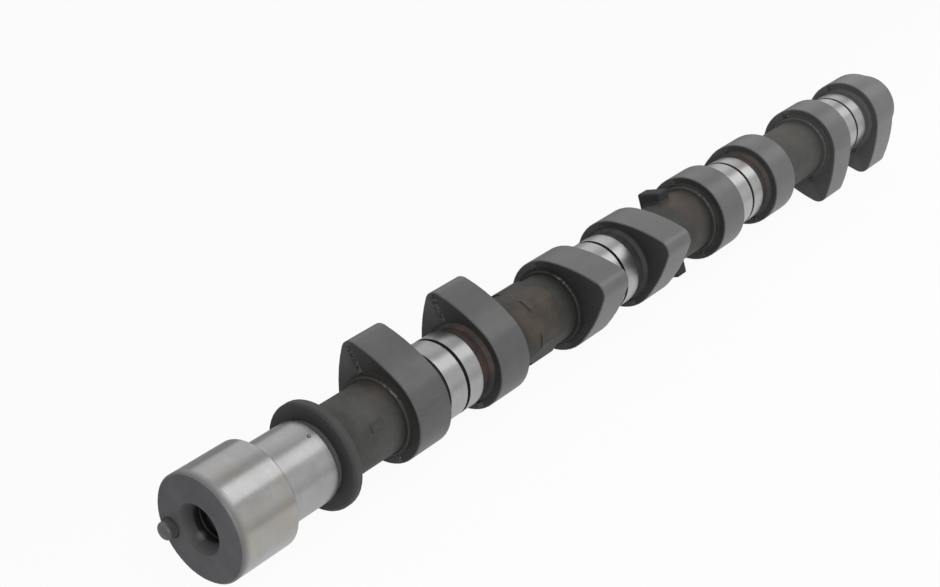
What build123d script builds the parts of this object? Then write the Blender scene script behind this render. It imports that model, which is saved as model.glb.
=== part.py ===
from build123d import *
import math
import os

# Camshaft of a four-cylinder twin-cam engine, cast in one piece, with a dowel pin pressed into
# its nose.  Millimetres.  The axis is X: the nose face lies at x = 0 and the tail at the far end.
# The shaft lies as it comes to rest, on the lobes that point 45 degrees to each side of down.

# Stations along the axis
nose_length = 23.0
front_journal_length = 21.0
relief_width = 2.3
collar_thickness = 3.7
first_bearing_distance = 60.1
cylinder_spacing = 93.0
tail_length = 9.7

# Turned diameters
nose_diameter = 36.0
journal_diameter = 28.0
relief_diameter = 25.6
collar_diameter = 37.0
core_diameter = 25.6
hub_diameter = 26.6
shoulder_diameter = 28.0
tail_diameter = 28.0

# Edges and fillets of the turned outline
nose_chamfer = 0.7
journal_chamfer = 0.5
collar_rounding = 1.1
collar_fillet = 3.0
hub_bevel = 1.2
shoulder_width = 1.7
shoulder_bevel = 0.4
tail_chamfer = 0.8

# Bearing journal between the two lobes of a cylinder
journal_width = 16.0
lobe_gap = 26.3
oil_groove_width = 1.5
oil_groove_depth = 0.9

# Cam lobes
lobe_width = 15.5
base_circle_diameter = 35.0
valve_lift = 8.5
tip_radius = 4.8
flank_radius = 58.0
lobe_edge_break = 0.35
lobe_angles = [45.0, 135.0, -45.0, -135.0]

# Bare cast pad on the core behind the collar
pad_setback = 12.2
pad_length = 5.0
pad_width = 2.4
pad_height = 0.3
pad_angle = 134.0

# Cast hexagon for a wrench, behind the second lobe
hexagon_across_flats = 25.8
hexagon_corner_diameter = 27.8
hexagon_width = 12.5
hexagon_setback = 12.2
hexagon_turn = 42.5

# Cast bar across the core between the fourth and the fifth lobe; its two ends are the sensor lugs
lug_setback = 17.2
lug_thickness = 6.5
lug_width = 10.4
lug_offset = 2.3
lug_upper_reach = 16.9
lug_lower_reach = 18.2
lug_angle = 57.0
lug_bevel = 0.5

# Bolt hole in the nose; the thread's turns are left to the finish, so its wall is the major diameter
bolt_thread_diameter = 12.0
bolt_thread_end = 30.0
bolt_tap_drill = 10.5
bolt_pilot_diameter = 12.6
bolt_pilot_depth = 6.0
bolt_sink_diameter = 17.0
bolt_sink_angle = 60.0
bolt_hole_depth = 34.0
drill_point_angle = 118.0

# Dowel pin that keys the sprocket
dowel_diameter = 6.0
dowel_circle_radius = 13.2
dowel_angle = -35.5
dowel_stand_out = 3.3
dowel_seat_depth = 10.0
dowel_end_clearance = 0.5
dowel_tip_rounding = 1.2
dowel_foot_chamfer = 0.8
dowel_seat_sink = 0.6

# Small holes
oil_hole_diameter = 1.4
oil_hole_depth = 9.0
oil_hole_setback = 3.1
oil_hole_angle = 98.0
centre_drill_diameter = 6.0
centre_drill_angle = 60.0

# How far a cutting solid starts outside the surface that it cuts
cutter_run_out = 1.0

# Derived stations
nose_radius = nose_diameter / 2
journal_radius = journal_diameter / 2
core_radius = core_diameter / 2
front_journal_end = nose_length + front_journal_length
collar_front = front_journal_end + relief_width
collar_back = collar_front + collar_thickness
first_bearing = collar_front + first_bearing_distance
half_gap = lobe_gap / 2
pair_reach = half_gap + lobe_width
pair_stations = [first_bearing + cylinder_spacing * number for number in range(len(lobe_angles))]
last_lobe_back = pair_stations[-1] + pair_reach
tail_end = last_lobe_back + tail_length


def band(start, end, radius):
    """Plain round length of the shaft between two stations."""
    disc = Plane.YZ.offset(start) * Circle(radius)
    return extrude(disc, end - start)


def at_angle(angle):
    """Turn about the shaft axis that brings +Y to the given angle, counted towards +Z."""
    return Rot(angle, 0, 0)


def rounded_outline(points, roundings):
    """Closed half outline over the axis, with the named corners rounded."""
    face = make_face(Polyline(*points, close=True))
    for radius in sorted(set(roundings.values())):
        wanted = [corner for corner, value in roundings.items() if value == radius]
        corners = [
            vertex
            for vertex in face.vertices()
            if any(math.dist((vertex.X, vertex.Y), corner) < 0.001 for corner in wanted)
        ]
        face = fillet(corners, radius)
    return face


def front_end():
    """Nose, front journal, relief and thrust collar, turned in one outline."""
    core_join = collar_back + 2 * collar_fillet
    collar_radius = collar_diameter / 2
    relief_radius = relief_diameter / 2
    points = [
        (0, 0),
        (0, nose_radius - nose_chamfer),
        (nose_chamfer, nose_radius),
        (nose_length - nose_chamfer, nose_radius),
        (nose_length, nose_radius - nose_chamfer),
        (nose_length, journal_radius),
        (front_journal_end - journal_chamfer, journal_radius),
        (front_journal_end, journal_radius - journal_chamfer),
        (front_journal_end, relief_radius),
        (collar_front, relief_radius),
        (collar_front, collar_radius),
        (collar_back, collar_radius),
        (collar_back, core_radius),
        (core_join, core_radius),
        (core_join, 0),
    ]
    roundings = {
        (collar_front, collar_radius): collar_rounding,
        (collar_back, collar_radius): collar_rounding,
        (collar_back, core_radius): collar_fillet,
    }
    return revolve(rounded_outline(points, roundings), Axis.X)


def bearing(station):
    """Journal with its oil groove and the as-cast hubs that lead to the lobes."""
    half = journal_width / 2
    hub_radius = hub_diameter / 2
    groove_radius = journal_radius - oil_groove_depth
    half_groove = oil_groove_width / 2
    inside = half_gap + lobe_width / 4
    right = [
        (half_groove, groove_radius),
        (half_groove, journal_radius),
        (half - journal_chamfer, journal_radius),
        (half, journal_radius - journal_chamfer),
        (half, hub_radius),
        (half_gap - hub_bevel, hub_radius),
        (half_gap, hub_radius + hub_bevel),
        (inside, hub_radius + hub_bevel),
        (inside, 0),
    ]
    left = [(-x, y) for x, y in reversed(right)]
    points = [(station + x, y) for x, y in left + right]
    return revolve(make_face(Polyline(*points, close=True)), Axis.X)


def lobe_shoulder(face_station, side):
    """Turned shoulder with a bevelled rim on the outer face of a lobe."""
    shoulder_radius = shoulder_diameter / 2
    inside = face_station - side * lobe_width / 4
    shoulder_edge = face_station + side * shoulder_width
    points = [
        (inside, 0),
        (inside, shoulder_radius),
        (shoulder_edge - side * shoulder_bevel, shoulder_radius),
        (shoulder_edge, shoulder_radius - shoulder_bevel),
        (shoulder_edge, 0),
    ]
    return revolve(make_face(Polyline(*points, close=True)), Axis.X)


def lobe_profile():
    """Cam outline: base circle, two convex flanks and the tip, all tangent to each other."""
    base_radius = base_circle_diameter / 2
    tip_offset = base_radius + valve_lift - tip_radius
    to_base = flank_radius - base_radius
    to_tip = flank_radius - tip_radius
    flank_x = (to_base**2 - to_tip**2 + tip_offset**2) / (2 * tip_offset)
    flank_y = -math.sqrt(to_base**2 - flank_x**2)
    base_angle = math.atan2(-flank_y, -flank_x)
    tip_angle = math.atan2(-flank_y, tip_offset - flank_x)
    middle_angle = (base_angle + tip_angle) / 2

    def on_circle(centre_x, centre_y, radius, angle):
        return (centre_x + radius * math.cos(angle), centre_y + radius * math.sin(angle))

    base_point = on_circle(0, 0, base_radius, base_angle)
    tip_point = on_circle(tip_offset, 0, tip_radius, tip_angle)
    flank_point = on_circle(flank_x, flank_y, flank_radius, middle_angle)

    def mirrored(point):
        return (point[0], -point[1])

    back = ThreePointArc(base_point, (-base_radius, 0), mirrored(base_point))
    lower_flank = ThreePointArc(mirrored(base_point), mirrored(flank_point), mirrored(tip_point))
    tip = ThreePointArc(mirrored(tip_point), (tip_offset + tip_radius, 0), tip_point)
    upper_flank = ThreePointArc(tip_point, flank_point, base_point)
    return make_face([back, lower_flank, tip, upper_flank])


def lobe(start, angle):
    """One cam lobe from its front face, its tip turned to the given angle."""
    solid = extrude(Plane.YZ * lobe_profile(), lobe_width)
    edges = solid.faces().sort_by(Axis.X)[0].edges() + solid.faces().sort_by(Axis.X)[-1].edges()
    solid = chamfer(edges, lobe_edge_break)
    return Pos(start, 0, 0) * at_angle(angle) * solid


def casting_pad():
    """Low bare pad cast on the core."""
    pad = Box(pad_length, core_radius + pad_height, pad_width, align=(Align.MIN, Align.MIN, Align.CENTER))
    return Pos(collar_back + pad_setback, 0, 0) * at_angle(pad_angle) * pad


def wrench_hexagon():
    """Cast hexagon with its corners cut round."""
    corner_radius = hexagon_across_flats / math.sqrt(3)
    outline = RegularPolygon(corner_radius, 6) & Circle(hexagon_corner_diameter / 2)
    start = pair_stations[0] + pair_reach + hexagon_setback
    solid = extrude(Plane.YZ * outline, hexagon_width)
    return Pos(start, 0, 0) * at_angle(hexagon_turn) * solid


def sensor_lugs():
    """Bar set off from the axis, longer on its lower side."""
    start = pair_stations[1] + pair_reach + lug_setback
    length = lug_upper_reach + lug_lower_reach
    bar = Box(lug_thickness, length, lug_width, align=(Align.MIN, Align.MIN, Align.CENTER))
    bar = chamfer(bar.edges(), lug_bevel)
    return at_angle(lug_angle) * Pos(start, -lug_lower_reach, -lug_offset) * bar


def bolt_hole():
    """Sunk pilot, threaded length, tapping drill and drill point on the axis of the nose."""
    drill_radius = bolt_tap_drill / 2
    thread_radius = bolt_thread_diameter / 2
    pilot_radius = bolt_pilot_diameter / 2
    sink_radius = bolt_sink_diameter / 2
    sink_slope = math.tan(math.radians(bolt_sink_angle / 2))
    sink_depth = (sink_radius - pilot_radius) / sink_slope
    point_depth = drill_radius / math.tan(math.radians(drill_point_angle / 2))
    points = [
        (-cutter_run_out, 0),
        (-cutter_run_out, sink_radius + cutter_run_out * sink_slope),
        (sink_depth, pilot_radius),
        (bolt_pilot_depth, pilot_radius),
        (bolt_pilot_depth + pilot_radius - thread_radius, thread_radius),
        (bolt_thread_end, thread_radius),
        (bolt_thread_end, drill_radius),
        (bolt_hole_depth, drill_radius),
        (bolt_hole_depth + point_depth, 0),
    ]
    return revolve(make_face(Polyline(*points, close=True)), Axis.X)


def centre_drill():
    """Cone left in the tail by the grinding centre."""
    radius = centre_drill_diameter / 2
    depth = radius / math.tan(math.radians(centre_drill_angle / 2))
    outside = tail_end + cutter_run_out
    points = [(outside, 0), (outside, radius), (tail_end, radius), (tail_end - depth, 0)]
    return revolve(make_face(Polyline(*points, close=True)), Axis.X)


def oil_hole():
    """Small radial hole near the back of the front journal."""
    length = oil_hole_depth + cutter_run_out
    drill = Cylinder(oil_hole_diameter / 2, length, align=(Align.CENTER, Align.CENTER, Align.MIN))
    inward = Pos(0, journal_radius + cutter_run_out, 0) * Rot(90, 0, 0) * drill
    return Pos(front_journal_end - oil_hole_setback, 0, 0) * at_angle(oil_hole_angle) * inward


def dowel_place():
    """Foot of the dowel on the nose face."""
    return at_angle(dowel_angle) * Pos(0, dowel_circle_radius, 0)


def dowel_seat():
    """Blind hole the dowel is pressed into, its mouth sunk a little."""
    radius = dowel_diameter / 2
    points = [
        (-cutter_run_out, 0),
        (-cutter_run_out, radius + dowel_seat_sink + cutter_run_out),
        (dowel_seat_sink, radius),
        (dowel_seat_depth, radius),
        (dowel_seat_depth, 0),
    ]
    return dowel_place() * revolve(make_face(Polyline(*points, close=True)), Axis.X)


def dowel():
    """Hardened pin with a domed tip, seated just short of the bottom of its hole."""
    pin = band(-dowel_stand_out, dowel_seat_depth - dowel_end_clearance, dowel_diameter / 2)
    rims = pin.edges().filter_by(GeomType.CIRCLE).sort_by(Axis.X)
    pin = fillet(rims[0], dowel_tip_rounding)
    foot = pin.edges().filter_by(GeomType.CIRCLE).sort_by(Axis.X)[-1]
    return dowel_place() * chamfer(foot, dowel_foot_chamfer)


def tail():
    """Turned stub behind the last lobe."""
    stub = band(last_lobe_back - lobe_width / 4, tail_end, tail_diameter / 2)
    return chamfer(stub.faces().sort_by(Axis.X)[-1].edges(), tail_chamfer)


def camshaft():
    """The whole casting, machined."""
    body = band(collar_back, last_lobe_back, core_radius)
    body = body + front_end()
    for station, angle in zip(pair_stations, lobe_angles):
        body = body + bearing(station)
        body = body + lobe_shoulder(station - pair_reach, -1)
        body = body + lobe(station - pair_reach, angle)
        body = body + lobe(station + half_gap, angle)
    for station in pair_stations[:-1]:
        body = body + lobe_shoulder(station + pair_reach, 1)
    body = body + tail()
    body = body + casting_pad()
    body = body + wrench_hexagon()
    body = body + sensor_lugs()
    body = body - bolt_hole()
    body = body - centre_drill()
    body = body - oil_hole()
    return body - dowel_seat()


os.makedirs("parts", exist_ok=True)
export_step(camshaft(), "parts/camshaft.step")
export_step(dowel(), "parts/dowel_pin.step")
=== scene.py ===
import bpy
import math
from mathutils import Matrix, Vector


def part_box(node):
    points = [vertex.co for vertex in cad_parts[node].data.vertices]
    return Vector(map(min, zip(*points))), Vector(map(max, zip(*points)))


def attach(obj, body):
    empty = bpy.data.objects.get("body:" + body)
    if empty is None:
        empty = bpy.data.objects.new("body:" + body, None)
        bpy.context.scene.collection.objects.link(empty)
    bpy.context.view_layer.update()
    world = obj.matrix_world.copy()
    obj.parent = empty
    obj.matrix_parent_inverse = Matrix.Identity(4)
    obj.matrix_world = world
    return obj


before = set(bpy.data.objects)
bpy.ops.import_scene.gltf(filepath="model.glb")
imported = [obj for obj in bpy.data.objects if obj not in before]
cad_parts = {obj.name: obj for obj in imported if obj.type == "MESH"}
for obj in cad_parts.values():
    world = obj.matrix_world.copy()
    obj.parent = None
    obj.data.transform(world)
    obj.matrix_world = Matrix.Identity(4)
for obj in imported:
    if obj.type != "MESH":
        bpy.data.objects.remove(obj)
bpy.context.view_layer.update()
bpy.ops.object.select_all(action="DESELECT")

# The shaft lies on a white table, seen from in front of its nose and from above.  The camera stands
# less than half a metre from the nose, so the lobes shrink towards the tail.
camera_data = bpy.data.cameras.new("camera")
camera_data.sensor_width = 36
camera_data.lens = 60.685
camera_data.clip_start = 0.01
camera = bpy.data.objects.new("camera", camera_data)
camera.location = (-0.238736, -0.214469, 0.334969)
camera.rotation_euler = (math.radians(52.987), math.radians(-10.9166), math.radians(-50.6159))
bpy.context.collection.objects.link(camera)
bpy.context.scene.camera = camera
bpy.context.scene.view_settings.view_transform = "Standard"


# Table: one wide white sheet at the height of the lowest lobes.  It looks white to the camera and
# pale in the ground steel, and keeps a soft shadow under the shaft.
def add_node(tree, kind, inputs=(), **settings):
    """Adds a node, sets it up and feeds its inputs by name or index from sockets or numbers."""
    node = tree.nodes.new("ShaderNode" + kind)
    for key, value in settings.items():
        setattr(node, key, value)
    for place, value in dict(inputs).items():
        if isinstance(value, bpy.types.NodeSocket):
            tree.links.new(value, node.inputs[place])
        else:
            node.inputs[place].default_value = value
    return node


def calculate(tree, operation, first, second=0.0):
    """Result of one Math node."""
    return add_node(tree, "Math", {0: first, 1: second}, operation=operation).outputs[0]


def grey(value):
    return (value, value, value, 1)


def start_material(name):
    """New material with an empty node tree."""
    material = bpy.data.materials.new(name)
    material.use_nodes = True
    material.node_tree.nodes.clear()
    return material, material.node_tree


def ramp_between(tree, value, low, high, to_low=0.0, to_high=1.0):
    """Value mapped from one range to another and held at its ends."""
    sizes = {"Value": value, "From Min": low, "From Max": high, "To Min": to_low, "To Max": to_high}
    return add_node(tree, "MapRange", sizes).outputs[0]


table_size = 30
middle_of_shaft = 0.2
near_line = -0.02
far_line = 0.06
near_paper = 0.72
far_paper = 0.38
near_share_in_steel = 0.52
far_share_in_steel = 0.0
share_in_view = 0.94
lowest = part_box("camshaft")[0][2]
bpy.ops.mesh.primitive_plane_add(size=table_size, location=(middle_of_shaft, 0, lowest))
table = bpy.context.object
table.name = "table"
table_white, tree = start_material("table_white")
spot = add_node(tree, "SeparateXYZ", {0: add_node(tree, "TexCoord").outputs["Object"]})
depth = spot.outputs["Y"]
# the paper is painted paler in front of the shaft and darker behind it, as painted light and shade
painted_paper_light = ramp_between(tree, depth, near_line, far_line, near_paper, far_paper)
paper = add_node(tree, "BsdfDiffuse", {"Color": painted_paper_light})
glow = add_node(tree, "Emission", {"Color": grey(1), "Strength": 1.0})
rays = add_node(tree, "LightPath")
mirrored = calculate(tree, "MAXIMUM", rays.outputs["Is Glossy Ray"], rays.outputs["Is Transmission Ray"])
# the sheet's part in the steel's reflection fades out behind the shaft, as a painted darker reflection
share_in_steel = ramp_between(tree, depth, near_line, far_line, near_share_in_steel, far_share_in_steel)
mirrored = calculate(tree, "MULTIPLY", mirrored, share_in_steel)
seen = calculate(tree, "MULTIPLY", rays.outputs["Is Camera Ray"], share_in_view)
share = calculate(tree, "MAXIMUM", mirrored, seen)
mix = add_node(tree, "MixShader", {0: share, 1: paper.outputs[0], 2: glow.outputs[0]})
add_node(tree, "OutputMaterial", {"Surface": mix.outputs[0]})
table.data.materials.append(table_white)


# Studio: pale walls whose brightness changes round the shaft's axis, as panels beside it do, and
# soft lamps.  The camera sees the walls white.
def blend(tree, factor, first, second, how="MIX"):
    """Two colours mixed, or multiplied where how says so."""
    node = add_node(tree, "Mix", data_type="RGBA", blend_type=how)
    for socket, value in (("Factor", factor), ("A", first), ("B", second)):
        if isinstance(value, bpy.types.NodeSocket):
            tree.links.new(value, node.inputs[socket])
        else:
            node.inputs[socket].default_value = value
    return node.outputs["Result"]


def tinted(tree, colour, tint):
    """Colour multiplied by another colour or by a level."""
    return blend(tree, 1.0, colour, tint, "MULTIPLY")


def levels(tree, value, stops):
    """Grey that runs through the given (place, level) stops as a value goes from 0 to 1."""
    node = add_node(tree, "ValToRGB", {0: value})
    elements = node.color_ramp.elements
    while len(elements) < len(stops):
        elements.new(0.5)
    for element, (place, level) in zip(elements, stops):
        element.position = place
        element.color = grey(level)
    return node.outputs["Color"]


world = bpy.data.worlds.new("studio")
bpy.context.scene.world = world
world.use_nodes = True
tree = world.node_tree
tree.nodes.clear()
axes = add_node(tree, "SeparateXYZ", {0: add_node(tree, "TexCoord").outputs["Generated"]})
round_axis = calculate(tree, "ARCTAN2", axes.outputs["Z"], axes.outputs["Y"])
panel_levels = [
    (0.00, 0.75),
    (0.06, 0.90),
    (0.26, 0.90),
    (0.37, 0.50),
    (0.66, 0.50),
    (0.72, 0.75),
    (0.86, 0.80),
    (0.97, 0.56),
]
panels = levels(tree, ramp_between(tree, round_axis, 0.0, math.pi), panel_levels)
in_view = add_node(tree, "LightPath").outputs["Is Camera Ray"]
walls = add_node(tree, "Background", {"Color": blend(tree, in_view, panels, grey(1)), "Strength": 1.0})
add_node(tree, "OutputWorld", {"Surface": walls.outputs[0]})

for name, place, turn, size, power in [
    ("overhead_lamp", (0.95, -0.13, 0.8), (9, 0, 0), (1.9, 0.55), 3.2),
    ("front_lamp", (-1.6, -0.9, 1.1), (50, 0, -60), (1.0, 1.0), 14),
]:
    lamp = bpy.data.lights.new(name, "AREA")
    lamp.shape = "RECTANGLE"
    lamp.size, lamp.size_y = size
    lamp.energy = power
    holder = bpy.data.objects.new(name, lamp)
    holder.location = place
    holder.rotation_euler = [math.radians(angle) for angle in turn]
    bpy.context.collection.objects.link(holder)

# Camshaft: one iron casting.  Nose and journals are ground bright, the lobes are ground and then
# phosphated grey, and the core, the hubs and the lobes' sides keep the dark skin of the casting.
cylinder_pitch = 0.093
bearing_count = 4
first_bearing = 0.1064
journal_end = 0.0092
hub_start = 0.00797
journal_inner_radius = 0.01345
lobe_inner = 0.01312
lobe_outer = 0.02868
lobe_lowest_radius = 0.0150
shoulder_end = 0.0304
front_end = 0.0502
front_journal_end = 0.0441
front_chamfer = 0.0006
nose_chamfer_end = 0.0010
nose_back = 0.0230
collar_front = 0.04625
tail_start = 0.41408
bore_radius = 0.0088
pilot_radius = 0.0063
skin_radius = 0.0130
shaft_reach = 0.42
sharp = 0.00001


def between(tree, value, low, high, softness):
    """Mask that is 1 where a value lies between two limits."""
    rising = ramp_between(tree, value, low - softness, low + softness)
    falling = ramp_between(tree, value, high - softness, high + softness, 1.0, 0.0)
    return calculate(tree, "MULTIPLY", rising, falling)


def both(tree, *masks):
    """Product of several masks."""
    result = masks[0]
    for mask in masks[1:]:
        result = calculate(tree, "MULTIPLY", result, mask)
    return result


def either(tree, *masks):
    """Largest of several masks."""
    result = masks[0]
    for mask in masks[1:]:
        result = calculate(tree, "MAXIMUM", result, mask)
    return result


def noise(tree, position, scale, detail=3.0, roughness=0.55, stretch=(1, 1, 1)):
    """Noise over the piece, its grains stretched where stretch is below 1."""
    drawn_out = add_node(tree, "VectorMath", {0: position, 1: stretch}, operation="MULTIPLY")
    sizes = {"Vector": drawn_out.outputs[0], "Scale": scale, "Detail": detail, "Roughness": roughness}
    return add_node(tree, "TexNoise", sizes).outputs["Fac"]


# which part of the casting a point lies on: Away is the distance along the axis from the nearest
# bearing, Along a share of the shaft's reach and Angle a share of a full turn
zones = bpy.data.node_groups.new("shaft_zones", "ShaderNodeTree")
zones.interface.new_socket("Position", in_out="INPUT", socket_type="NodeSocketVector")
zones.interface.new_socket("Normal", in_out="INPUT", socket_type="NodeSocketVector")
given = zones.nodes.new("NodeGroupInput")
place = add_node(zones, "SeparateXYZ", {0: given.outputs["Position"]})
facing = add_node(zones, "SeparateXYZ", {0: given.outputs["Normal"]})
axial = calculate(zones, "ABSOLUTE", facing.outputs["X"])
along = place.outputs["X"]
across = add_node(zones, "VectorMath", {0: given.outputs["Position"], 1: (0, 1, 1)}, operation="MULTIPLY")
radius = add_node(zones, "VectorMath", {0: across.outputs[0]}, operation="LENGTH").outputs["Value"]
away = calculate(zones, "PINGPONG", calculate(zones, "SUBTRACT", along, first_bearing), cylinder_pitch / 2)
behind_collar = calculate(zones, "GREATER_THAN", along, front_end)
front_part = calculate(zones, "SUBTRACT", 1.0, behind_collar)
outward = ramp_between(zones, axial, 0.45, 0.5, 1.0, 0.0)
sideways = ramp_between(zones, axial, 0.84, 0.88)
broken_edge = between(zones, axial, 0.475, 0.86, 0.02)
raised = calculate(zones, "GREATER_THAN", radius, journal_inner_radius)
journal = both(zones, behind_collar, calculate(zones, "LESS_THAN", away, journal_end), raised, outward)
back_face = between(zones, along, nose_back - 0.0009, nose_back + 0.0001, sharp)
rear_chamfer = between(zones, along, front_journal_end - front_chamfer, front_journal_end, sharp)
nose_chamfer = calculate(zones, "LESS_THAN", along, nose_chamfer_end)
turned = either(zones, outward, back_face, rear_chamfer, nose_chamfer)
in_nose = between(zones, along, 0.0002, front_journal_end, sharp)
duller_rim = ramp_between(zones, along, 0.0005, 0.0032, 0.30, 1.0)
ground = either(zones, journal, both(zones, in_nose, raised, turned, duller_rim))
in_lobe = between(zones, away, lobe_inner, lobe_outer, sharp)
in_lobe = both(zones, behind_collar, in_lobe, calculate(zones, "GREATER_THAN", radius, lobe_lowest_radius))
worked = either(zones, in_lobe, calculate(zones, "GREATER_THAN", along, tail_start))
in_bore = both(
    zones,
    front_part,
    calculate(zones, "LESS_THAN", radius, bore_radius),
    calculate(zones, "GREATER_THAN", along, 0.0001),
)
angle = calculate(zones, "ARCTAN2", place.outputs["Z"], place.outputs["Y"])
results = zones.nodes.new("NodeGroupOutput")
for name, value in {
    "Ground": ground,
    "Lobe": both(zones, worked, outward),
    "Side": both(zones, worked, sideways),
    "Edge": both(zones, worked, broken_edge),
    "Hub": both(zones, behind_collar, between(zones, away, hub_start, lobe_inner, 0.0003)),
    "Coated": both(zones, front_part, calculate(zones, "SUBTRACT", 1.0, ground)),
    "Bore": in_bore,
    "Radius": radius,
    "Away": away,
    "Angle": ramp_between(zones, angle, -math.pi, math.pi),
    "Along": ramp_between(zones, along, 0.0, shaft_reach),
}.items():
    zones.interface.new_socket(name, in_out="OUTPUT", socket_type="NodeSocketFloat")
    zones.links.new(value, results.inputs[name])

# skin of the casting: fine grain, a slower mottle and small bright specks
grain_group = bpy.data.node_groups.new("cast_grain", "ShaderNodeTree")
grain_group.interface.new_socket("Position", in_out="INPUT", socket_type="NodeSocketVector")
given = grain_group.nodes.new("NodeGroupInput")
results = grain_group.nodes.new("NodeGroupOutput")
skin_position = given.outputs["Position"]
for name, value in {
    "Grain": noise(grain_group, skin_position, 1500.0, 4.0, 0.6),
    "Mottle": ramp_between(grain_group, noise(grain_group, skin_position, 130.0, 5.0, 0.65), 0.35, 0.65),
    "Specks": ramp_between(grain_group, noise(grain_group, skin_position, 2200.0, 1.0, 0.4), 0.68, 0.74),
}.items():
    grain_group.interface.new_socket(name, in_out="OUTPUT", socket_type="NodeSocketFloat")
    grain_group.links.new(value, results.inputs[name])


def add_grain(tree, position):
    """Grain, mottle and specks of the skin, at each point of a piece."""
    return add_node(tree, "Group", {"Position": position}, node_tree=grain_group).outputs


iron, tree = start_material("camshaft_iron")
coordinates = add_node(tree, "TexCoord")
position = coordinates.outputs["Object"]
places = {"Position": position, "Normal": coordinates.outputs["Normal"]}
zone = add_node(tree, "Group", places, node_tree=zones).outputs
skin = add_grain(tree, position)
mottle = skin["Mottle"]

# grinding lines run round the axis, so they change along X only
lines = noise(tree, position, 60.0, 3.0, 0.6, (70, 1, 1))
bands = noise(tree, position, 20.0, 2.0, 0.5, (35, 1, 1))
warm_marks = ramp_between(tree, noise(tree, position, 75.0), 0.45, 0.7)
clouds = noise(tree, position, 160.0, 4.0, 0.6, (0.6, 1, 1))
# faint paler streaks along the shaft on the first lobes
streaks = ramp_between(tree, noise(tree, position, 500.0, 3.0, 0.6, (0.12, 1, 1)), 0.60, 0.78)


def on_skin(x, turn):
    """Point on the core's or a hub's surface, from its station and its angle round the axis."""
    turn = math.radians(turn)
    return (x, skin_radius * math.cos(turn), skin_radius * math.sin(turn))


def distance(tree, position, point):
    """Distance of each point of a piece from one given point."""
    return add_node(tree, "VectorMath", {0: position, 1: point}, operation="DISTANCE").outputs["Value"]


def mottled(tree, mottle, colour, darkest):
    """Colour that the mottle darkens, down to a share of itself."""
    return blend(tree, mottle, tinted(tree, colour, grey(darkest)), colour)


# brown patches where the skin has begun to rust: centre, reach and strength of each
rust = None
for centre, reach, strength in [
    (on_skin(0.1500, 118), 0.0115, 1.0),
    (on_skin(0.1515, 150), 0.0055, 0.7),
    (on_skin(0.2525, 82), 0.0095, 0.85),
    (on_skin(0.2525, 122), 0.0085, 0.45),
    (on_skin(0.3400, 90), 0.0095, 0.45),
    (on_skin(0.0720, 86), 0.0080, 0.35),
    (on_skin(0.1170, 92), 0.0070, 0.9),
    (on_skin(0.1170, 138), 0.0070, 0.9),
    (on_skin(0.3035, 105), 0.0095, 0.9),
]:
    apart = distance(tree, position, centre)
    patch = ramp_between(tree, apart, reach * 1.25, reach * 0.5, 0.0, strength)
    rust = patch if rust is None else either(tree, rust, patch)
broken = ramp_between(tree, noise(tree, position, 150.0, 4.0, 0.6), 0.36, 0.56, 0.25, 1.0)
rust = both(tree, rust, broken)

# core, painted darker at the foot of each shoulder and on the shoulder rings, as painted shade by the lobes
foot_shade_end = 0.0362
core_levels = [(0.10, 0.074), (0.22, 0.074), (0.32, 0.049), (0.42, 0.049), (0.55, 0.058), (0.85, 0.055)]
core_colour = levels(tree, zone["Along"], core_levels)
core_colour = tinted(tree, core_colour, (1, 1, 0.94, 1))
core_colour = mottled(tree, mottle, core_colour, 0.62)
foot = ramp_between(tree, zone["Away"], shoulder_end, foot_shade_end, 0.42, 1.0)
painted_ring_shade = ramp_between(tree, zone["Along"], 0.43, 0.60, 0.45, 0.9)
on_ring = both(tree, calculate(tree, "LESS_THAN", zone["Away"], shoulder_end), painted_ring_shade)
core_colour = tinted(tree, core_colour, either(tree, foot, on_ring))
core_colour = blend(tree, rust, core_colour, (0.080, 0.059, 0.045, 1))

# sensor lugs, darker than the core
lug_front = 0.2440
lug_back = 0.2530
lug_lowest_radius = 0.0137
on_lug = both(
    tree,
    calculate(tree, "GREATER_THAN", zone["Radius"], lug_lowest_radius),
    between(tree, zone["Along"], lug_front / shaft_reach, lug_back / shaft_reach, 0.0001),
)
core_colour = blend(tree, on_lug, core_colour, grey(0.022))

# painted highlights, broken up by noise, on the outer edge of each shoulder on its side towards the light
glint_inner = 0.02950
glint_outer = 0.03036
glint_lowest_radius = 0.0133
glint_breaks = ramp_between(tree, noise(tree, position, 800.0, 3.0), 0.48, 0.60)
painted_shoulder_glint = both(
    tree,
    between(tree, zone["Away"], glint_inner, glint_outer, 0.0001),
    calculate(tree, "GREATER_THAN", zone["Radius"], glint_lowest_radius),
    between(tree, zone["Angle"], 0.75, 0.86, 0.02),
    glint_breaks,
)
core_colour = blend(tree, painted_shoulder_glint, core_colour, grey(0.12))

# hubs: the casting's dark skin, painted darker still as shade in the narrow gaps between journals and lobes
hub_skin_and_shade_levels = [(0.22, 0.060), (0.25, 0.066), (0.27, 0.028), (0.42, 0.046), (0.55, 0.049), (0.72, 0.046)]
hub_colour = levels(tree, zone["Along"], hub_skin_and_shade_levels)
hub_colour = mottled(tree, mottle, hub_colour, 0.5)
hub_colour = blend(tree, rust, hub_colour, (0.062, 0.040, 0.030, 1))
colour = blend(tree, zone["Hub"], core_colour, hub_colour)

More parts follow.
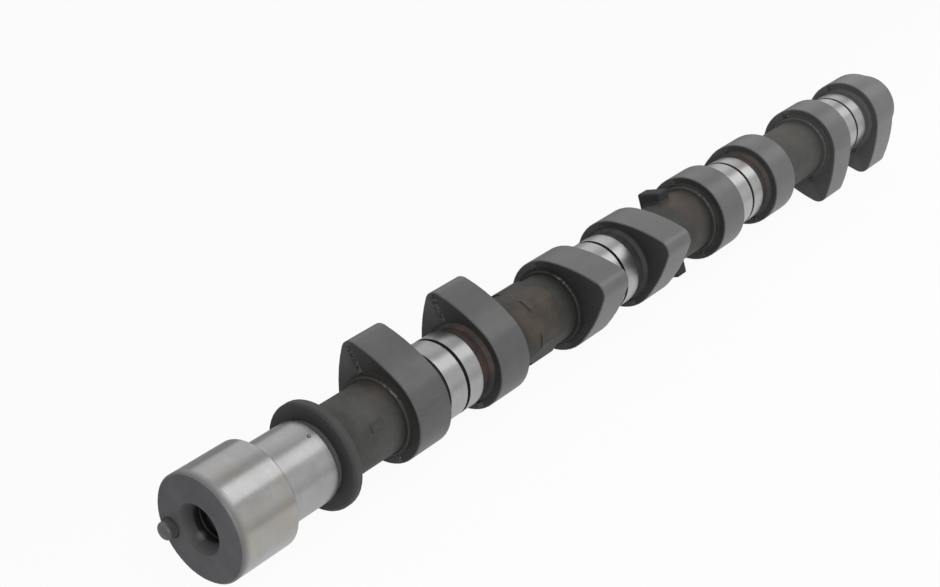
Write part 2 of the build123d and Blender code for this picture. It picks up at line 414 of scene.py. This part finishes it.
# coated nose face, relief and collar; the relief is painted paler as painted light, and the collar's front
# is painted darker towards the journal as painted shade
coated_colour = blend(tree, mottle, (0.066, 0.066, 0.071, 1), (0.084, 0.084, 0.090, 1))
in_relief = calculate(tree, "GREATER_THAN", zone["Along"], front_journal_end / shaft_reach)
coated_colour = blend(tree, in_relief, coated_colour, grey(0.11))
collar_soft = 0.00005
collar_face_end = 0.0468
collar_rim_start = 0.0474
collar_front_end = collar_front + collar_soft
on_collar = ramp_between(tree, zone["Along"], collar_front / shaft_reach, collar_front_end / shaft_reach)
collar_colour = blend(tree, mottle, (0.052, 0.052, 0.054, 1), (0.064, 0.064, 0.066, 1))
face_limits = (collar_face_end / shaft_reach, collar_rim_start / shaft_reach)
painted_collar_shade = ramp_between(tree, zone["Along"], *face_limits, 1.0, 0.0)
painted_collar_shade = both(tree, painted_collar_shade, ramp_between(tree, zone["Radius"], 0.0150, 0.0180, 1.0, 0.62))
collar_colour = blend(tree, painted_collar_shade, collar_colour, grey(0.031))
coated_colour = blend(tree, on_collar, coated_colour, collar_colour)
colour = blend(tree, zone["Coated"], colour, coated_colour)

# the mould parted at 45 degrees; each lobe's side is painted paler on one side of that plane as painted
# light and darker on the other as painted shade, and darker towards its foot as painted shade
painted_side_light_levels = [
    (0.00, 0.040),
    (0.12, 0.042),
    (0.13, 0.070),
    (0.615, 0.082),
    (0.635, 0.046),
    (0.70, 0.033),
    (0.86, 0.030),
    (0.95, 0.034),
]
side_colour = levels(tree, zone["Angle"], painted_side_light_levels)
painted_side_foot_shade = ramp_between(tree, zone["Radius"], lobe_lowest_radius, 0.0215, 0.68, 1.0)
side_colour = mottled(tree, mottle, tinted(tree, side_colour, painted_side_foot_shade), 0.8)
colour = blend(tree, zone["Side"], colour, side_colour)

# cams, paler towards the tail and at their tips
tip_start = 0.0190
tip_full = 0.0245
lobe_levels = [
    (0.20, 0.132),
    (0.33, 0.136),
    (0.40, 0.160),
    (0.55, 0.162),
    (0.63, 0.172),
    (0.75, 0.170),
    (0.86, 0.162),
    (0.94, 0.190),
]
lobe_colour = levels(tree, zone["Along"], lobe_levels)
lobe_shade = ramp_between(tree, lines, 0.3, 0.7, 0.97, 1.0)
lobe_shade = both(tree, lobe_shade, ramp_between(tree, mottle, 0.0, 1.0, 0.90, 1.0))
lobe_colour = tinted(tree, lobe_colour, lobe_shade)
streak_colour = tinted(tree, lobe_colour, (1.18, 1.18, 1.10, 1))
streaks = both(tree, streaks, ramp_between(tree, zone["Along"], 0.35, 0.42, 1.0, 0.3))
lobe_colour = blend(tree, streaks, lobe_colour, streak_colour)
tip = ramp_between(tree, zone["Radius"], tip_start, tip_full, 0.0, 0.14)
lobe_colour = blend(tree, tip, lobe_colour, grey(0.26))
colour = blend(tree, zone["Lobe"], colour, lobe_colour)
colour = blend(tree, zone["Edge"], colour, grey(0.09))

# the far end is painted paler, as painted light
painted_far_light = ramp_between(tree, zone["Along"], 0.65, 0.976, 0.0, 0.17)
colour = blend(tree, painted_far_light, colour, grey(0.25))

# ground steel; the nose has warm marks and is a little smoother than the journals behind it
nose_share = 0.0530
journals_share = 0.0560
steel_colour = blend(tree, bands, grey(0.44), grey(0.50))
cloudy = ramp_between(tree, clouds, 0.35, 0.65, 0.88, 1.0)
paler_aft = ramp_between(tree, zone["Along"], 0.30, 0.50, 0.93, 1.07)
steel_colour = tinted(tree, steel_colour, both(tree, cloudy, paler_aft))
on_nose = ramp_between(tree, zone["Along"], nose_share, journals_share, 0.9, 0.0)
steel_colour = blend(tree, both(tree, warm_marks, on_nose), steel_colour, (0.43, 0.40, 0.345, 1))
colour = blend(tree, zone["Ground"], colour, steel_colour)

# bolt hole: painted darker towards its axis and in its depth as painted shade, with one spot at its mouth
# painted bright as a painted highlight
pilot_start = 0.0030
pilot_end = 0.0059
glint_place = (0.0034, 0.0019, -0.0062)
painted_bore_shade = ramp_between(tree, zone["Radius"], pilot_radius, 0.0086, 0.034, 0.092)
painted_depth_shade = ramp_between(tree, zone["Along"], pilot_start / shaft_reach, pilot_end / shaft_reach, 1.0, 0.15)
bore_colour = tinted(tree, (0.97, 0.97, 1, 1), both(tree, painted_bore_shade, painted_depth_shade))
colour = blend(tree, zone["Bore"], colour, bore_colour)
painted_glint = ramp_between(tree, distance(tree, position, glint_place), 0.0002, 0.0019, 0.75, 0.0)
colour = blend(tree, painted_glint, colour, grey(0.16))

# the oil hole in the front journal is clean and pale inside
oil_hole = on_skin(0.0409, 98)
oil_hole_reach = 0.0018
oil_hole_rim = 0.01385
in_oil_hole = both(
    tree,
    calculate(tree, "LESS_THAN", distance(tree, position, oil_hole), oil_hole_reach),
    calculate(tree, "LESS_THAN", zone["Radius"], oil_hole_rim),
)
colour = blend(tree, in_oil_hole, colour, grey(0.5))

half_metal = either(tree, zone["Lobe"], calculate(tree, "MULTIPLY", zone["Edge"], 0.3))
metal = either(tree, zone["Ground"], calculate(tree, "MULTIPLY", half_metal, 0.5))
skin_rough = ramp_between(tree, skin["Grain"], 0.3, 0.7, 0.53, 0.63)
lobe_rough = ramp_between(tree, skin["Grain"], 0.3, 0.7, 0.34, 0.40)
steel_rough = ramp_between(tree, zone["Along"], nose_share, journals_share, 0.23, 0.29)
rough = blend(tree, half_metal, skin_rough, lobe_rough)
rough = blend(tree, zone["Ground"], rough, steel_rough)

smooth_part = either(tree, zone["Ground"], half_metal, zone["Coated"])
cast_part = calculate(tree, "SUBTRACT", 1.0, smooth_part)
cast_height = both(tree, skin["Grain"], cast_part)
line_height = both(tree, lines, smooth_part, ramp_between(tree, smooth_part, 0.0, 1.0, 0.0, 0.03))
height = calculate(tree, "ADD", cast_height, line_height)
bump = add_node(tree, "Bump", {"Strength": 0.6, "Distance": 0.0002, "Height": height})
finish = {"Base Color": colour, "Metallic": metal, "Roughness": rough, "Normal": bump.outputs[0]}
surface = add_node(tree, "BsdfPrincipled", finish)
surface.inputs["Specular IOR Level"].default_value = 0.35
add_node(tree, "OutputMaterial", {"Surface": surface.outputs[0]})
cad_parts["camshaft"].material_slots[0].material = iron


# Front edges of the bearing journals: each journal was ground a millimetre further towards the lobe
# in front of it than behind, so a short ring of the same steel joins it there.
def pick(piece, test):
    """Selects, in edit mode, the vertices whose place passes a test and what lies between them."""
    bpy.ops.object.mode_set(mode="EDIT")
    bpy.ops.mesh.select_mode(type="VERT")
    bpy.ops.mesh.select_all(action="DESELECT")
    bpy.ops.object.mode_set(mode="OBJECT")
    for vertex in piece.data.vertices:
        vertex.select = test(vertex.co)
    bpy.ops.object.mode_set(mode="EDIT")


lip_sides = 192
lip_radius = 0.014004
lip_front = 0.0091
lip_back = 0.0074
lip_wall = 0.0010
lip_chamfer = 0.0004
bpy.ops.object.select_all(action="DESELECT")
bpy.ops.mesh.primitive_cylinder_add(
    vertices=lip_sides,
    radius=lip_radius,
    depth=lip_front - lip_back,
    end_fill_type="NOTHING",
    location=(first_bearing - (lip_front + lip_back) / 2, 0, 0),
    rotation=(0, math.pi / 2, 0),
)
lips = bpy.context.object
lips.name = "journal_lips"
bpy.ops.object.transform_apply(location=True, rotation=True, scale=True)
wall = lips.modifiers.new("wall", "SOLIDIFY")
wall.thickness = lip_wall
wall.offset = -1
bpy.ops.object.modifier_apply(modifier="wall")
just_behind_front = first_bearing - lip_front + 0.0001
wall_middle = lip_radius - lip_wall / 2
pick(lips, lambda co: co.x < just_behind_front and math.hypot(co.y, co.z) > wall_middle)
bpy.ops.mesh.bevel(offset=lip_chamfer, segments=2, affect="EDGES")
bpy.ops.mesh.select_all(action="SELECT")
bpy.ops.mesh.normals_make_consistent(inside=False)
bpy.ops.object.mode_set(mode="OBJECT")
for number in range(1, bearing_count):
    copy = lips.copy()
    copy.data = lips.data.copy()
    copy.data.transform(Matrix.Translation((cylinder_pitch * number, 0, 0)))
    bpy.context.collection.objects.link(copy)
    copy.select_set(True)
lips.select_set(True)
bpy.context.view_layer.objects.active = lips
bpy.ops.object.join()
bpy.ops.object.shade_smooth_by_angle(angle=math.radians(30))
lips.data.materials.append(iron)
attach(lips, "root")

# Run-out of the wrench hexagon: the casting swells from the round core into the flats, and only the
# corners keep a short step.
runout_start = 0.1424
hexagon_start = 0.1473
runout_radii = (0.0127, 0.0134)
runout_sides = 180
across_flats = 0.02584
hexagon_turn = 42.5
prism_length = 0.02
bpy.ops.object.select_all(action="DESELECT")
bpy.ops.mesh.primitive_cylinder_add(
    vertices=6,
    radius=across_flats / math.sqrt(3),
    depth=prism_length,
    location=(runout_start, 0, 0),
    rotation=(0, math.pi / 2, 0),
)
flats = bpy.context.object
bpy.ops.object.transform_apply(location=True, rotation=True, scale=True)
flats.rotation_euler = (math.radians(hexagon_turn), 0, 0)
bpy.ops.object.transform_apply(location=True, rotation=True, scale=True)
bpy.ops.object.select_all(action="DESELECT")
bpy.ops.mesh.primitive_cone_add(
    vertices=runout_sides,
    radius1=runout_radii[0],
    radius2=runout_radii[1],
    depth=hexagon_start - runout_start,
    location=((hexagon_start + runout_start) / 2, 0, 0),
    rotation=(0, math.pi / 2, 0),
)
runout = bpy.context.object
runout.name = "hexagon_runout"
bpy.ops.object.transform_apply(location=True, rotation=True, scale=True)
flattened = runout.modifiers.new("flattened", "BOOLEAN")
flattened.operation = "INTERSECT"
flattened.solver = "EXACT"
flattened.object = flats
bpy.ops.object.modifier_apply(modifier="flattened")
bpy.data.objects.remove(flats)
bpy.ops.object.shade_smooth_by_angle(angle=math.radians(20))
runout.data.materials.clear()
runout.data.materials.append(iron)
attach(runout, "root")

# Thread of the bolt hole: twelve millimetres across and one and a half in pitch.  Its ridge stands
# inward from the bore's wall and is wound from one section, wide at its foot and narrow at its crest.
thread_pitch = 0.0015
thread_turns = 15
thread_steps = 40
thread_start = 0.0072
thread_wall = 0.00603
thread_crest = 0.00519
thread_middle = (thread_wall + thread_crest) / 2
foot_share = 0.9
crest_share = 0.22
bpy.ops.object.select_all(action="DESELECT")
bpy.ops.mesh.primitive_plane_add(size=1, location=(thread_start, thread_middle, 0))
thread = bpy.context.object
thread.name = "bolt_thread"
thread.scale = (thread_pitch * foot_share, thread_wall - thread_crest, 1)
bpy.ops.object.transform_apply(location=True, rotation=True, scale=True)
pick(thread, lambda co: co.y < thread_middle)
bpy.ops.transform.resize(value=(crest_share, 1, 1))
bpy.ops.mesh.select_all(action="SELECT")
bpy.ops.mesh.delete(type="ONLY_FACE")
bpy.ops.object.mode_set(mode="OBJECT")
winding = thread.modifiers.new("winding", "SCREW")
winding.axis = "X"
winding.angle = 2 * math.pi
winding.screw_offset = thread_pitch
winding.iterations = thread_turns
winding.steps = thread_steps
winding.render_steps = thread_steps
bpy.ops.object.modifier_apply(modifier="winding")
bpy.ops.object.mode_set(mode="EDIT")
bpy.ops.mesh.select_all(action="SELECT")
bpy.ops.mesh.fill_holes(sides=4)
bpy.ops.mesh.normals_make_consistent(inside=False)
bpy.ops.object.mode_set(mode="OBJECT")
thread_iron, tree = start_material("thread_iron")
skin = add_grain(tree, add_node(tree, "TexCoord").outputs["Object"])
# the thread is painted almost black, as painted shade deep in the bolt hole
painted_thread_shade = blend(tree, skin["Mottle"], (0.012, 0.012, 0.015, 1), (0.018, 0.018, 0.022, 1))
shine = ramp_between(tree, skin["Grain"], 0.3, 0.7, 0.6, 0.75)
surface = add_node(tree, "BsdfPrincipled", {"Base Color": painted_thread_shade, "Roughness": shine})
surface.inputs["Specular IOR Level"].default_value = 0.2
add_node(tree, "OutputMaterial", {"Surface": surface.outputs[0]})
thread.data.materials.append(thread_iron)
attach(thread, "root")

# Casting flash: the rough low ridge left where the two halves of the mould met.  It runs along the
# core and up the sides of the lobes in one plane, and was only ground away where the cams are.
flash_angles = (45, 225)
flash_core_radius = 0.0128
flash_stretches = [
    (0.0531, 0.0760),
    (0.1368, 0.1472),
    (0.1597, 0.1690),
    (0.2298, 0.2453),
    (0.2518, 0.2620),
    (0.3228, 0.3550),
]
core_flash = (0.0012, 0.00014)
side_flash = (0.0028, 0.00050)
flash_step = 0.0006
lobe_tip_angles = (45, 135, -45, -135)
lobe_tip_radius = 0.0253
lobe_base_radius = 0.0168
hub_radius = 0.0146
shoulder_radius = 0.0141
sunk = 0.00003


def flash_strip(start, along, outward, length, section, seed):
    """Closed bumpy strip that starts at a point, its foot sunk into the surface it lies on."""
    width, height = section
    bpy.ops.object.select_all(action="DESELECT")
    bpy.ops.mesh.primitive_cube_add(size=1, location=(0.5, 0, -0.5))
    strip = bpy.context.object
    bpy.ops.object.transform_apply(location=True, rotation=True, scale=True)
    for axis, cuts in ((0, max(6, round(length / flash_step))), (1, 6)):
        bpy.ops.object.mode_set(mode="EDIT")
        bpy.ops.mesh.select_mode(type="EDGE")
        bpy.ops.mesh.select_all(action="DESELECT")
        bpy.ops.object.mode_set(mode="OBJECT")
        for edge in strip.data.edges:
            ends = [strip.data.vertices[number].co for number in edge.vertices]
            edge.select = abs(ends[0][axis] - ends[1][axis]) > 0.001
        bpy.ops.object.mode_set(mode="EDIT")
        bpy.ops.mesh.subdivide(number_cuts=cuts)
    for half_width in (0.45, 0.2):
        pick(strip, lambda co: co.z > -0.25 and abs(co.y) < half_width and 0.01 < co.x < 0.99)
        bpy.ops.transform.translate(value=(0, 0, 0.5))
    bpy.ops.object.mode_set(mode="OBJECT")
    strip.scale = (length, width, height)
    bpy.ops.object.transform_apply(location=False, rotation=False, scale=True)
    pick(strip, lambda co: co.z > height * 0.2)
    bpy.ops.transform.vertex_random(offset=height * 0.9, uniform=0.0, normal=0.0, seed=seed)
    bpy.ops.object.mode_set(mode="OBJECT")
    along, outward = Vector(along), Vector(outward)
    turn = Matrix((along, outward.cross(along), outward)).transposed().to_4x4()
    strip.matrix_world = Matrix.Translation(Vector(start)) @ turn
    bpy.ops.object.transform_apply(location=True, rotation=True, scale=True)
    return strip


strips = []
for flash_angle in flash_angles:
    radial = Vector((0, math.cos(math.radians(flash_angle)), math.sin(math.radians(flash_angle))))
    for low, high in flash_stretches:
        foot = radial * flash_core_radius + Vector((low, 0, 0))
        strips.append(flash_strip(foot, (1, 0, 0), radial, high - low, core_flash, len(strips)))
    for number, tip_angle in enumerate(lobe_tip_angles):
        reach = lobe_tip_radius if flash_angle == tip_angle else lobe_base_radius
        middle = first_bearing + cylinder_pitch * number
        for outer_face, inner_radius in ((True, shoulder_radius), (False, hub_radius)):
            for side in (-1, 1):
                away = lobe_outer - sunk if outer_face else lobe_inner + sunk
                facing_out = side if outer_face else -side
                foot = radial * inner_radius + Vector((middle + side * away, 0, 0))
                length = reach - inner_radius
                strips.append(flash_strip(foot, radial, (facing_out, 0, 0), length, side_flash, len(strips)))
bpy.ops.object.select_all(action="DESELECT")
for strip in strips:
    strip.select_set(True)
bpy.context.view_layer.objects.active = strips[0]
bpy.ops.object.join()
flash = bpy.context.object
flash.name = "casting_flash"
rounding = flash.modifiers.new("rounding", "SUBSURF")
rounding.levels = 1
rounding.render_levels = 1
bpy.ops.object.modifier_apply(modifier="rounding")
bpy.ops.object.shade_smooth()
flash_iron, tree = start_material("flash_iron")
position = add_node(tree, "TexCoord").outputs["Object"]
skin = add_grain(tree, position)
pits = ramp_between(tree, noise(tree, position, 1100.0, 2.0), 0.42, 0.55)
ridge_colour = blend(tree, pits, grey(0.005), blend(tree, skin["Mottle"], grey(0.035), grey(0.075)))
ridge_colour = blend(tree, skin["Specks"], ridge_colour, grey(0.16))
bright = calculate(tree, "MULTIPLY", skin["Specks"], 0.3)
shine = ramp_between(tree, skin["Specks"], 0.0, 1.0, 0.55, 0.35)
bump = add_node(tree, "Bump", {"Strength": 0.7, "Distance": 0.0002, "Height": skin["Grain"]})
finish = {"Base Color": ridge_colour, "Metallic": bright, "Roughness": shine, "Normal": bump.outputs[0]}
surface = add_node(tree, "BsdfPrincipled", finish)
add_node(tree, "OutputMaterial", {"Surface": surface.outputs[0]})
flash.data.materials.append(flash_iron)
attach(flash, "root")

# Dowel pin: hardened and blackened steel, pressed into the nose face.  Handling has worn it to a dull
# sheen.
pin_steel, tree = start_material("dowel_steel")
skin = add_grain(tree, add_node(tree, "TexCoord").outputs["Object"])
shade = blend(tree, skin["Mottle"], grey(0.10), grey(0.20))
shine = ramp_between(tree, skin["Grain"], 0.3, 0.7, 0.42, 0.55)
surface = add_node(tree, "BsdfPrincipled", {"Base Color": shade, "Metallic": 0.5, "Roughness": shine})
add_node(tree, "OutputMaterial", {"Surface": surface.outputs[0]})
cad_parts["dowel_pin"].material_slots[0].material = pin_steel
